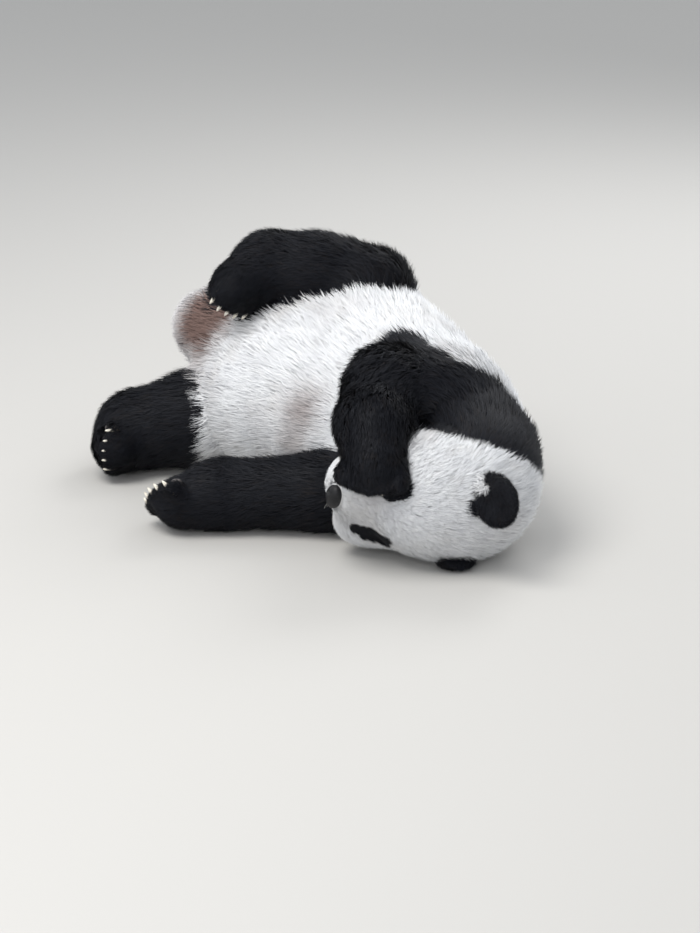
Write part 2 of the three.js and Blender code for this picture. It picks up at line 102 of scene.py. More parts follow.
def across_from(v, axis):
    """A direction with its share along the axis taken out."""
    v = np.asarray(v, float)
    return unit(v - axis * (v @ axis))


HEAD_MIDDLE = np.array((186.0, -88.0, 116.0))
NOSE_WAY = unit((-0.96, -0.269, 0.074))
RIGHT_WAY = across_from((0.21, -0.525, 0.825), NOSE_WAY)
HEAD_SIZE = 1.04
CROWN_WAY = np.cross(RIGHT_WAY, NOSE_WAY)
HEAD_AXES = np.array((NOSE_WAY, RIGHT_WAY, CROWN_WAY))
EAR_PLACE = (-34, 112, 86)
EAR_RADII = (24, 44, 54)
NOSE_PLACE = (212, 0, -14)
NOSE_RADII = (20, 27, 17)


def head_point(forward, side, up):
    return HEAD_MIDDLE + HEAD_SIZE * (forward * NOSE_WAY + side * RIGHT_WAY + up * CROWN_WAY)


def in_head(points):
    """Points in the head's own frame: forward, right, up."""
    return (points - HEAD_MIDDLE) @ HEAD_AXES.T / HEAD_SIZE


def turned_axes(degrees):
    a = math.radians(degrees)
    return np.array(((math.cos(a), math.sin(a), 0), (-math.sin(a), math.cos(a), 0), (0, 0, 1)))


# ---------- Fields: distances, negative inside, for arrays of points ----------

def mass(middle, radii, axes=turned_axes(0)):
    """The field of an ellipsoid."""
    middle = np.asarray(middle, float)
    radii = np.asarray(radii, float)

    def distance(points):
        q = ((points - middle) @ axes.T) / radii
        near = np.sqrt((q * q).sum(-1))
        q /= radii
        return near * (near - 1) / (np.sqrt((q * q).sum(-1)) + 1e-9)
    return distance


def bone(start, start_radius, end, end_radius):
    """The field of a round length that tapers."""
    start = np.asarray(start, float)
    way = np.asarray(end, float) - start
    span = way @ way

    def distance(points):
        q = points - start
        along = np.clip((q @ way) / span, 0, 1)
        q -= along[..., None] * way
        return np.sqrt((q * q).sum(-1)) - (start_radius + (end_radius - start_radius) * along)
    return distance


def melt(a, b, fillet):
    """Two fields joined with a rounded inside corner."""
    share = np.clip(0.5 + 0.5 * (b - a) / fillet, 0, 1)
    return b + (a - b) * share - fillet * share * (1 - share)


class Lobe:
    """One rounded length or mass: its field, its fillet to the ones before it in its group,
    the way its coat lies, how deep that coat is, and how far along the group it lies."""

    def __init__(self, field, fillet, lie, coat, place=0.0, along=None):
        self.field = field
        self.fillet = fillet
        self.lie = np.asarray(lie, float)
        self.coat = coat
        self.place = place
        self.along = along

    def places(self, points):
        if self.along is None:
            return np.full(len(points), self.place)
        start, end = self.along
        way = end - start
        return self.place + np.clip((points - start) @ way / (way @ way), -0.5, 1.5)


def lengths(joints, fillet, coats, backwards=False):
    """Lobes through joints; the coat lies from the first joint on, or back towards it."""
    lobes = []
    for i, ((start, r0), (end, r1)) in enumerate(zip(joints, joints[1:])):
        start, end = np.asarray(start, float), np.asarray(end, float)
        way = unit(end - start) * (-1 if backwards else 1)
        lobes.append(Lobe(bone(start, r0, end, r1), fillet, way, coats[i], i, (start, end)))
    return lobes


class Paw:
    """Directions: ahead along the toes, palm out of the sole, across to the last toe."""

    def __init__(self, place, ahead, palm, toe, claw):
        self.place = np.asarray(place, float)
        self.ahead = unit(ahead)
        self.palm = across_from(palm, self.ahead)
        self.across = np.cross(self.palm, self.ahead)
        self.axes = np.array((self.ahead, self.across, self.palm))
        self.toe = toe
        self.claw = claw

    def toes(self):
        for i in range(TOE_COUNT):
            step = i - (TOE_COUNT - 1) / 2
            reach = self.toe["reach"] * (1 - 0.06 * step * step)
            root = self.place + self.across * step * self.toe["spread"] * 0.7
            tip = root + self.across * step * self.toe["spread"] * 0.3 + self.ahead * reach
            yield root, tip

    def pads(self):
        """Each pad's middle and its radii ahead, across and out of the sole."""
        radius = self.toe["radius"]
        for root, tip in self.toes():
            yield tip - 0.12 * radius * self.ahead + 0.62 * radius * self.palm, (
                radius * np.array((0.58, 0.44, 0.30)))
        spread = self.toe["spread"] * 0.7
        yield self.place + 0.96 * radius * self.palm, np.array(
            (0.7 * radius, 1.5 * spread, 0.4 * radius))


# Each paw's ways ahead and out of the sole, its toe and its claw.
PAW_SHAPES = {
    "foreleg_right": ((-0.2, -0.6, -0.62), (0.14, 0.69, -0.67), FORE_TOE, TUCKED_CLAW),
    "foreleg_left": ((-0.85, -0.2, 0.35), (-0.1, 0.6, 0.8), FORE_TOE, FORE_CLAW),
    "hindleg_right": ((-0.3, -0.45, -0.8), (-0.6, 0.5, -0.5), HIND_TOE, HIND_CLAW),
    "hindleg_left": ((-0.38, -0.9, 0.1), (-0.85, -0.4, 0.1), HIND_TOE, HIND_CLAW),
}
PAWS = {leg: Paw(LEGS[leg][-1][0], *shape) for leg, shape in PAW_SHAPES.items()}


def trunk_lobes():
    belly_lie = unit((-0.55, 0.8, 0.12))
    belly = mass((-95, 345, 160), (190, 140, 160), turned_axes(-20))
    breast = mass((10, 215, 140), (150, 110, 135), turned_axes(-20))
    nape = mass((235, -70, 140), (115, 110, 118), turned_axes(-30))
    return lengths(SPINE, 60, (34, 36, 36, 34, 30), backwards=True) + [
        Lobe(belly, 80, belly_lie, 34, 1.2),
        Lobe(breast, 80, belly_lie, 30, 2.8),
        Lobe(nape, 50, (0.25, 0.9, 0.2), 24, 5.6),
    ]


def head_lobes():
    back = -NOSE_WAY

    def part(place, radii, fillet, lie, coat):
        sizes = HEAD_SIZE * np.array(radii)
        return Lobe(mass(head_point(*place), sizes, HEAD_AXES), fillet, lie, coat)

    skull = part((-5, 0, 5), (125, 122, 106), 40, back - 0.2 * CROWN_WAY, 15)
    cheeks = [part((42, side * 58, -28), (92, 66, 78), 40,
                   back + 0.6 * side * RIGHT_WAY - 0.5 * CROWN_WAY, 17) for side in (1, -1)]
    brow = part((68, 0, 22), (82, 80, 66), 40, back + 0.2 * CROWN_WAY, 10)
    muzzle = part((146, 0, -28), (78, 68, 55), 40, back, 6)
    low_cheek = part((126, -80, -20), (70, 56, 50), 40, back - 0.6 * RIGHT_WAY, 9)
    chin = part((142, 0, -60), (68, 54, 40), 25, back - 0.4 * CROWN_WAY, 7)
    return [skull, *cheeks, brow, muzzle, low_cheek, chin]


def ear_axes():
    """The right ear's: out of its cup, across it, and up to its tip."""
    outward = unit(0.62 * NOSE_WAY + 0.5 * RIGHT_WAY + 0.3 * CROWN_WAY)
    across = unit(np.cross(outward, CROWN_WAY))
    return np.array((outward, across, np.cross(across, outward)))


def leg_lobes(name, coats):
    lobes = lengths(LEGS[name], 25, coats)
    if name in CALVES:
        middle, radii = CALVES[name]
        lobes.append(Lobe(mass(middle, radii), 25, lobes[1].lie, coats[1], 1.5))
    paw = PAWS[name]
    radius = paw.toe["radius"]
    for root, tip in paw.toes():
        lobes.append(Lobe(bone(root, radius * 1.15, tip, radius), 14, paw.ahead, 10, 3.5))
    return lobes


GROUPS = {
    "trunk": trunk_lobes(),
    "head": head_lobes(),
    "ear_right": [Lobe(mass(head_point(*EAR_PLACE), EAR_RADII, ear_axes()), 0,
                       0.7 * CROWN_WAY + 0.5 * RIGHT_WAY, 10)],
    "ear_left": [Lobe(mass((194, -138, 16), (42, 35, 17), turned_axes(10)), 0,
                      (0.1, -1, 0), 6)],
    "tail": [Lobe(mass((-302, 588, 262), (66, 74, 68), turned_axes(15)), 0,
                  (-0.8, 0.2, -0.3), 26)],
}
for leg in LEGS:
    GROUPS[leg] = leg_lobes(leg, (28 if leg.startswith("fore") else 32, 24, 14))
GROUP_NAMES = list(GROUPS)
JOINED_TO_TRUNK = ("head", "tail") + tuple(LEGS)  # by their first lobe


def group_distances(points):
    """For each group the distances of its lobes, then the field of the whole group."""
    lobes = {name: [lobe.field(points) for lobe in GROUPS[name]] for name in GROUP_NAMES}
    whole = {}
    for name in GROUP_NAMES:
        total = lobes[name][0]
        for lobe, distance in zip(GROUPS[name][1:], lobes[name][1:]):
            total = melt(total, distance, lobe.fillet)
        whole[name] = total
    return lobes, whole


def body_distance(lobes, whole):
    joined = whole["trunk"]
    for name in JOINED_TO_TRUNK:
        joined = melt(joined, lobes[name][0], JOINT_FILLET)
    return np.minimum(joined, np.min([whole[name] for name in GROUP_NAMES], axis=0))


ZONE_SOFTNESS = 16.0  # over which one lobe's lie and coat fade into the next's


class Zones:
    """What the coat is like at each point: its group, lie, depth and place along the group."""

    def __init__(self, points):
        lobes, whole = group_distances(points)
        self.body = body_distance(lobes, whole)
        fields = np.array([whole[name] for name in GROUP_NAMES])
        self.group = fields.argmin(0)
        self.raised_leg = whole["hindleg_right"]
        self.lower_leg = whole["hindleg_left"]
        nearest = fields.min(0)
        lie = np.zeros((len(points), 3))
        coat, place, total, own_total = np.zeros((4, len(points)))
        for g, name in enumerate(GROUP_NAMES):
            own = self.group == g
            for i, lobe in enumerate(GROUPS[name]):
                shared = i == 0 and name in JOINED_TO_TRUNK or name == "trunk"
                weight = np.exp(-np.clip(lobes[name][i] - nearest, -20, 300) / ZONE_SOFTNESS)
                if not shared:
                    weight = weight * own
                lie += weight[:, None] * lobe.lie
                coat += weight * lobe.coat
                total += weight
                place += weight * own * lobe.places(points)
                own_total += weight * own
        self.coat = coat / total
        self.lie = lie / total[:, None]
        self.place = place / np.maximum(own_total, 1e-9)


def evaluate(points, chunk=200000):
    """Zones of many points, worked out in chunks."""
    parts = [Zones(points[i:i + chunk]) for i in range(0, len(points), chunk)]
    whole = parts[0]
    for key in vars(whole):
        setattr(whole, key, np.concatenate([getattr(part, key) for part in parts]))
    return whole


# ---------- Markings ----------

def ramp(values, low, high):
    """0 below low, 1 above high, smooth between."""
    share = np.clip((values - low) / (high - low), 0, 1)
    return share * share * (3 - 2 * share)


def waves(points, size, seed, count=7):
    """Smooth noise of about -1 to 1 with features of the size given, in mm."""
    rng = np.random.default_rng(seed)
    ways = rng.normal(size=(count, 3))
    ways *= 2 * math.pi / (size * 1.6) / norms(ways)[:, None]
    ways *= rng.uniform(0.6, 1.4, count)[:, None]
    total = np.sin(points @ ways.T + rng.uniform(0, 2 * math.pi, count)).sum(1)
    return total / math.sqrt(count)


# Each in the head's frame: the ends of a rounded length, and its radius.
EYE_PATCHES = (
    ((133, 58, 22), (116, 76, 33), 18),
    ((168, -54, 18), (127, -34, 62), 13),
    ((148, -60, 24), (122, -60, 40), 16),
    ((132, -40, 55), (124, -56, 44), 12),
)
EAR_GAPS = (  # white hair across the ear's front edge
    ((-8, 128, 34), (-2, 120, 62), 13),
    ((-2, 120, 62), (-11, 127, 73), 8),
)
EAR_BASE = ((5, 92, 80), (-2, 76, 92), 10)  # black hair in front of the ear


def capsule(points, start, end, radius):
    return bone(start, radius, end, radius)(points)


def bump(points, middle, radii):
    """1 at the middle, fading over the radii."""
    return np.exp(-(((points - np.array(middle)) / np.array(radii)) ** 2).sum(1))


def black_share(points, zones):
    """How black the coat is, from 0 to 1, with its soft edges."""
    x, y, _ = points.T
    head_points = in_head(points)
    forward, side, up = head_points.T
    # The trunk is black ahead of a border that bends back round x = 118, and the neck is
    # black behind a border that slants across it in the head's frame.
    shoulders = ramp(46 + 129 * np.exp(-((x - 118) / 62) ** 2) - y, -7, 7)
    off_head = ramp(-(0.65 * forward + 1.45 * up - 0.82 * np.abs(side) + 150), -6, 6)
    ears = ramp(np.min([capsule(head_points, *gap) for gap in EAR_GAPS], axis=0), -2, 2)
    low_thigh = low_thigh_share(points, zones)
    trunk = np.maximum(np.maximum(shoulders * off_head, raised_thigh_share(points, zones)),
                       low_thigh)
    below_joint = ramp(zones.place, 0.3, 0.5)
    shares = {
        "trunk": trunk,
        "head": off_head,
        "ear_right": ears,
        "ear_left": ears,
        "foreleg_right": np.maximum(shoulders, below_joint),
        "foreleg_left": 1.0,
        "hindleg_right": below_joint * ramp(120 - x, -14, 14),
        "hindleg_left": low_thigh,
    }
    black = np.zeros(len(points))
    for name, share in shares.items():
        black = np.where(zones.group == GROUP_NAMES.index(name), share, black)
    on_head = zones.group == GROUP_NAMES.index("head")
    for start, end, radius in EYE_PATCHES + (EAR_BASE,):
        patch = ramp(-capsule(head_points, start, end, radius), -2.5, 2.5)
        black = np.where(on_head, np.maximum(black, patch), black)
    return black


def raised_thigh_share(points, zones):
    """Black of the raised leg where it runs out over the trunk, with a curved lower edge."""
    x, y, z = points.T
    curve = np.where(x < -20, 0.0017, 0.0042)
    share = ramp(y - 340 - curve * (x + 20) ** 2, -8, 8) * ramp(-zones.raised_leg, -42, -30)
    return share * ramp(z, 290, 320) * ramp(118 - x, -12, 12)


def low_thigh_share(points, zones):
    """Black of the lower hind leg, up to a border across its thigh."""
    x, y, _ = points.T
    share = ramp(-(x + 280 + 0.25 * np.maximum(0, y - 400)), -16, 16)
    return share * ramp(60 - zones.lower_leg, -10, 10)


# Soiled or brown hair, and painted shade under the raised hind paw: how much of it, its middle,
# and how far it fades.
STAIN_AND_SHADE_SPOTS = (
    (1.4, (-276, 492, 280), (60, 84, 62)),  # the tail
    # under the raised hind paw: brown hair and painted shade
    (1.0, (-236, 436, 316), (56, 62, 40)),  # beside it
    (1.2, (-80, 124, 208), (48, 46, 38)),  # the chest
    (0.5, (-100, 150, 140), (66, 34, 40)),
    (0.22, head_point(160, 40, 5), (40, 40, 40)),  # the muzzle
    (0.60, (-325, 400, 205), (48, 64, 34)),  # the lower thigh
    (0.9, (-285, 10, 112), (34, 30, 26)),  # the left wrist
)


def stain_and_shade_share(points):
    """How much of the tail's brown, of dust and earth, and of painted shade under the raised hind
    paw the coat has.
    """
    stain_and_shade = sum(amount * bump(points, middle, radii) for amount, middle, radii in STAIN_AND_SHADE_SPOTS)
    return np.clip(stain_and_shade + 0.10 * ramp(waves(points, 90, 4), 0.0, 1.2), 0, 1)


# ---------- Skin ----------

def row_middle(name):
    """The middle of a node of the frame, in the frame's metres."""
    return sum(np.array(corner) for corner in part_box(name)) / 2


# From the pose's millimetres to the frame's, which has its origin in another place.
SHIFT = row_middle("nose") * 1000 - head_point(*NOSE_PLACE)


def from_row(points):
    """The frame's metres to pose millimetres."""
    return np.asarray(points, float) * 1000 - SHIFT


def to_row(points):
    """Pose millimetres to the frame's metres."""
    return (points + SHIFT) / 1000


VOXEL = 6.0
BLOCK = 4  # voxels along each side of a block
NEAR_BLOCKS = 1.35  # blocks within this many sizes of the skin are refined
GRID_LOW = np.array((-560.0, -300.0, -30.0))
GRID_BLOCKS = (41, 45, 24)
SKIN_FLOOR = 4.0  # the skin's lowest level, above the floor


def skin_distance(points):
    zones = evaluate(points)
    return np.maximum(zones.body + zones.coat, SKIN_FLOOR - points[:, 2])


def lattice(counts, spacing, low):
    axes = [low[i] + spacing * np.arange(counts[i]) for i in range(3)]
    return np.stack(np.meshgrid(*axes, indexing="ij"), -1).reshape(-1, 3)


def skin_surface():
    """Vertices and quads of the skin, from its field on a grid that is fine near it only."""
    block_size = VOXEL * BLOCK
    centre = (block_size - VOXEL) / 2
    coarse = skin_distance(lattice(GRID_BLOCKS, block_size, GRID_LOW + centre))
    coarse = coarse.reshape(GRID_BLOCKS)
    field = coarse.repeat(BLOCK, 0).repeat(BLOCK, 1).repeat(BLOCK, 2)
    near = np.argwhere(np.abs(coarse) < block_size * NEAR_BLOCKS)
    inner = lattice((BLOCK,) * 3, 1, np.zeros(3)).astype(int)
    cells = (near[:, None, :] * BLOCK + inner[None]).reshape(-1, 3)
    field[tuple(cells.T)] = skin_distance(GRID_LOW + cells * VOXEL)
    grid = vdb.FloatGrid()
    grid.copyFromArray(field.astype(np.float32))
    points, _, quads = grid.convertToPolygons(isovalue=0.0, adaptivity=0.0)
    return GRID_LOW + points * VOXEL, quads.astype(int)


def face_corners(points, faces):
    return [points[faces[:, i]] for i in range(faces.shape[1])]


def facing_out(points, quads):
    """The quads, turned so that the volume they enclose is positive."""
    a, b, c, _ = face_corners(points, quads)
    volume = np.einsum("ij,ij->i", a, np.cross(b, c)).sum()
    return quads if volume > 0 else quads[:, ::-1]


def mesh_object(name, points, faces):
    """An object from points in the row's metres and lists of faces of one size each."""
    mesh = bpy.data.meshes.new(name)
    sizes = np.concatenate([np.full(len(f), f.shape[1]) for f in faces])
    corners = np.concatenate([f.ravel() for f in faces])
    mesh.vertices.add(len(points))
    mesh.vertices.foreach_set("co", points.astype(np.float32).ravel())
    mesh.loops.add(len(corners))
    mesh.loops.foreach_set("vertex_index", corners.astype(np.int32))
    mesh.polygons.add(len(sizes))
    starts = np.concatenate(((0,), np.cumsum(sizes)[:-1]))
    mesh.polygons.foreach_set("loop_start", starts.astype(np.int32))
    mesh.polygons.foreach_set("use_smooth", np.full(len(sizes), True))
    mesh.update(calc_edges=True)
    mesh.validate()
    obj = bpy.data.objects.new(name, mesh)
    bpy.context.scene.collection.objects.link(obj)
    return obj


def fetch(collection, key, width, kind=np.float32):
    values = np.empty(len(collection) * width, kind)
    collection.foreach_get(key, values)
    return values.reshape(-1, width)


def paint(obj, values):
    """The coat's marks on the points: black, stain with some painted shade, shade, and place from
    root to tip, which the coat turns into painted shade at the roots.
    """
    attribute = obj.data.attributes.new("coat", "FLOAT_COLOR", "POINT")
    attribute.data.foreach_set("color", values.astype(np.float32).ravel())


class Eye:
    """An eye's middle and its axes: the way it looks, along the lids, and across them."""

    def __init__(self, name, side):
        self.middle = from_row(row_middle(name))
        self.look = unit(0.55 * NOSE_WAY + 0.5 * side * RIGHT_WAY + 0.67 * CROWN_WAY)
        self.along = unit(np.cross(self.look, RIGHT_WAY))
        self.axes = np.array((self.look, self.along, np.cross(self.look, self.along)))

    def local(self, points):
        return ((points - self.middle) @ self.axes.T).T


EYES = (Eye("eye_right", 1), Eye("eye_left", -1))


LID_EDGE = 4.4  # from the slit's middle to the ridge of each lid


def lids(points, eye):
    """How far the skin moves out round an eye: a hollow, two lids and the slit between."""
    out, along, across = eye.local(points)
    hollow = -5.5 * np.exp(-(along / 19) ** 2 - (across / 14) ** 2)
    ridges = 2.6 * np.exp(-((np.abs(across) - LID_EDGE) / 2.2) ** 2 - (along / 12) ** 2)
    slit = -5.0 * np.exp(-(across / 1.7) ** 2 - (along / 9.5) ** 4)
    return (hollow + ridges + slit) * ramp(out, 0, 5)


def mouth_line(head_points):
    """How near each point is to the line between the lips, and to the groove under the nose."""
    forward, side, up = head_points.T
    lip = -50 - 8 * np.sin(np.clip((forward - 110) / 100, 0, 1) * math.pi)
    line = np.exp(-((up - lip) / 2.6) ** 2) * ramp(forward, 108, 128)
    groove = np.exp(-(side / 2.2) ** 2) * ramp(forward, 190, 198) * ramp(-up, 20, 28)
    return np.maximum(line, groove * ramp(up - lip, -4, 0))


def ear_hollow(points, zones):
    """The cup on the front of the right ear."""
    q = (points - head_point(*EAR_PLACE)) @ ear_axes().T
    cup = np.exp(-(q[:, 1] / 26) ** 2 - ((q[:, 2] - 6) / 30) ** 2) * ramp(q[:, 0], -2, 6)
    return -9 * cup * (zones.group == GROUP_NAMES.index("ear_right"))


# Regions of the skin with finer faces: a middle in the head's frame and a radius in mm.
FINE_SPOTS = (((110, 0, -5), 128), ((205, 0, -25), 48), (EAR_PLACE, 62))
FINE_EYE_REACH = 30
SETTLED_REACH = 330  # from the head's middle, of the points that settle() moves
MOUTH_DEPTH = 2.6
MOUTH_BLACK = 0.85
SKIN_SHADE = 0.5  # the skin's marks where the coat's vary from lock to lock
# The skin takes the coat's colour near a lock's root: painted shade under the coat.
SKIN_PAINTED_SHADE_LEVEL = 0.15


def refine(obj):
    """Splits the skin's faces in the face, and again at the eyes and nose."""
    spots = [(head_point(*place), radius) for place, radius in FINE_SPOTS]
    spots += [(eye.middle, FINE_EYE_REACH) for eye in EYES]
    grown = bmesh.new()
    grown.from_mesh(obj.data)
    for middle, radius in spots:
        at = Vector(to_row(middle))
        edges = {edge for face in grown.faces
                 if (face.calc_center_median() - at).length < radius / 1000
                 for edge in face.edges}
        bmesh.ops.subdivide_edges(grown, edges=list(edges), cuts=1, use_grid_fill=True)
    grown.to_mesh(obj.data)
    grown.free()


def settle(points, near):
    """Moves the chosen points onto the skin's exact surface."""
    chosen = points[near]
    value = skin_distance(chosen)
    slope = np.stack([skin_distance(chosen + step) - value for step in np.eye(3)], 1)
    size = np.maximum((slope * slope).sum(1), 0.3)
    points[near] = chosen - slope * (np.clip(value, -3, 3) / size)[:, None]


def build_skin():
    points, quads = skin_surface()
    obj = mesh_object("skin", to_row(points), [facing_out(points, quads)])
    refine(obj)
    points = from_row(fetch(obj.data.vertices, "co", 3))
    settle(points, norms(points - HEAD_MIDDLE) < SETTLED_REACH)
    zones = evaluate(points)
    normals = fetch(obj.data.vertices, "normal", 3)
    head_points = in_head(points)
    mouth = mouth_line(head_points) * (zones.group == GROUP_NAMES.index("head"))
    offset = sum(lids(points, eye) for eye in EYES) - MOUTH_DEPTH * mouth
    offset += ear_hollow(points, zones)
    points += normals * offset[:, None]
    obj.data.vertices.foreach_set("co", to_row(points).astype(np.float32).ravel())
    obj.data.update()
    black = np.maximum(black_share(points, zones), MOUTH_BLACK * mouth)
    # The skin's colours are those near the roots: painted shade under the coat.
    marks = np.stack((black, stain_and_shade_share(points), np.full(len(points), SKIN_SHADE),
                      np.full(len(points), SKIN_PAINTED_SHADE_LEVEL)), 1)
    paint(obj, marks)
    return obj, points, zones, marks


def triangles_of(obj):
    obj.data.calc_loop_triangles()
    return fetch(obj.data.loop_triangles, "vertices", 3, np.int32).astype(int)


# ---------- Coat ----------

class Style:
    """The points of a lock from root to tip: where along it, and its share of the width."""

    def __init__(self, levels, widths, cover):
        self.levels = np.array(levels)
        self.widths = np.array(widths)
        self.cover = cover  # how many locks lie over each point of the skin
        self.points = 2 * len(levels) - 1
        self.triangles = 2 * len(levels) - 3


LONG = Style((0, 0.34, 0.7, 1), (0.7, 1, 0.72, 0), 19.5)
SHORT = Style((0, 0.5, 1), (0.8, 1, 0), 16.5)
PIECE_TRIANGLES = 196000  # in one coat piece, under 200,000
FLOOR_GAP = 1.0  # under a lock's middle line
EDGE_GAP = 0.3  # under its edges
PATCH = 0.003  # across a lock's place in the bake map
CLUMP_SIZES = (34.0, 8.0)
CLUMP_SEED = 50
CLUMP_PULL = 0.4  # how far tips are drawn to the middle of their clump
GUARD_SHARE = 0.14  # of the locks reach past the others
NAPE_REACH = 270  # from the head's middle to the nape's last marks
MARK_LEVEL = 0.55  # where along a lock of the head its mark is read
LID_RADII = (15, 6.5)  # of the bare slit between the lids, along and across
EYE_REACH = 24  # from an eye's middle, round all of its slit
THIN_UNDERSIDE = 0.6  # share of the coat left out where the body lies on it


def style_of(name):
    return LONG if name in ("trunk", "tail") else SHORT


def lock_length(coat):
    return 1.6 * coat + 2


def lock_width(coat):
    return 0.046 * coat + 0.6


def bare(points):
    """Where no hair grows: on the eyes, the nose and the paws' pads."""
    on_nose = (points - head_point(*NOSE_PLACE)) @ HEAD_AXES.T / (np.array(NOSE_RADII) + 1.5)
    out = norms(on_nose) < 1
    for eye in EYES:
        _, along, across = eye.local(points)
        near = norms(points - eye.middle) < EYE_REACH
        out |= near & ((along / LID_RADII[0]) ** 2 + (across / LID_RADII[1]) ** 2 < 1)
    for paw in PAWS.values():
        for middle, radii in paw.pads():
            out |= norms((points - middle) @ paw.axes.T / (radii + 1)) < 1
    return out


def lock_counts(points, triangles, zones):
    """How many locks grow on each triangle of the skin."""
    a, b, c = face_corners(points, triangles)
    area = norms(np.cross(b - a, c - a)) / 2
    coat = zones.coat[triangles].mean(1)
    covers = np.array([style_of(name).cover for name in GROUP_NAMES])
    cover = covers[zones.group[triangles[:, 0]]]
    cover *= 1 - THIN_UNDERSIDE * (points[triangles].mean(1)[:, 2] < SKIN_FLOOR + 6)
    wanted = cover * area / (lock_length(coat) * lock_width(coat))
    return np.floor(wanted + RNG.random(len(wanted))).astype(int)


class Roots:
    """Where the locks grow, with what the skin has at each root."""

    def __init__(self, points, triangles, normals, zones, marks):
        face = np.repeat(np.arange(len(triangles)), lock_counts(points, triangles, zones))
        u, v = RNG.random((2, len(face)))
        over = u + v > 1
        u[over], v[over] = 1 - u[over], 1 - v[over]
        weights = np.stack((1 - u - v, u, v), 1)
        spots = np.einsum("ij,ijk->ik", weights, points[triangles[face]])
        kept = ~bare(spots)
        weights = weights[kept]
        corners = triangles[face[kept]]

        def mixed(values):
            return np.einsum("ij,ij...->i...", weights, values[corners])

        self.count = len(corners)
        self.points = spots[kept]
        self.normals = unit_rows(mixed(normals))
        self.coat = mixed(zones.coat)
        self.lie = mixed(zones.lie)
        self.group = zones.group[corners[:, 0]]
        self.marks = mixed(marks)


def clumps_of(points, size, seed):
    """For each point the number of its clump, with uneven borders between clumps."""
    bent = points + size * 0.45 * np.stack(
        [waves(points, size * 1.4, seed + i) for i in range(3)], 1)
    cells = np.floor(bent / size).astype(np.int64)
    keys = cells[:, 0] * 1000003 + cells[:, 1] * 10007 + cells[:, 2]
    return np.unique(keys, return_inverse=True)[1]


def mean_in(clump, values):
    counts = np.bincount(clump)
    return np.stack([np.bincount(clump, values[:, i]) / counts for i in range(3)], 1)[clump]


def per_clump(clump, spread, columns=None):
    count = clump.max() + 1
    values = RNG.normal(0, spread, count if columns is None else (count, columns))
    return values[clump]


def unit_rows(values):
    return values / np.maximum(norms(values), 1e-9)[:, None]


def flat_on(values, normals):
    """The vectors without their share along the normals."""
    return values - np.einsum("ij,ij->i", values, normals)[:, None] * normals


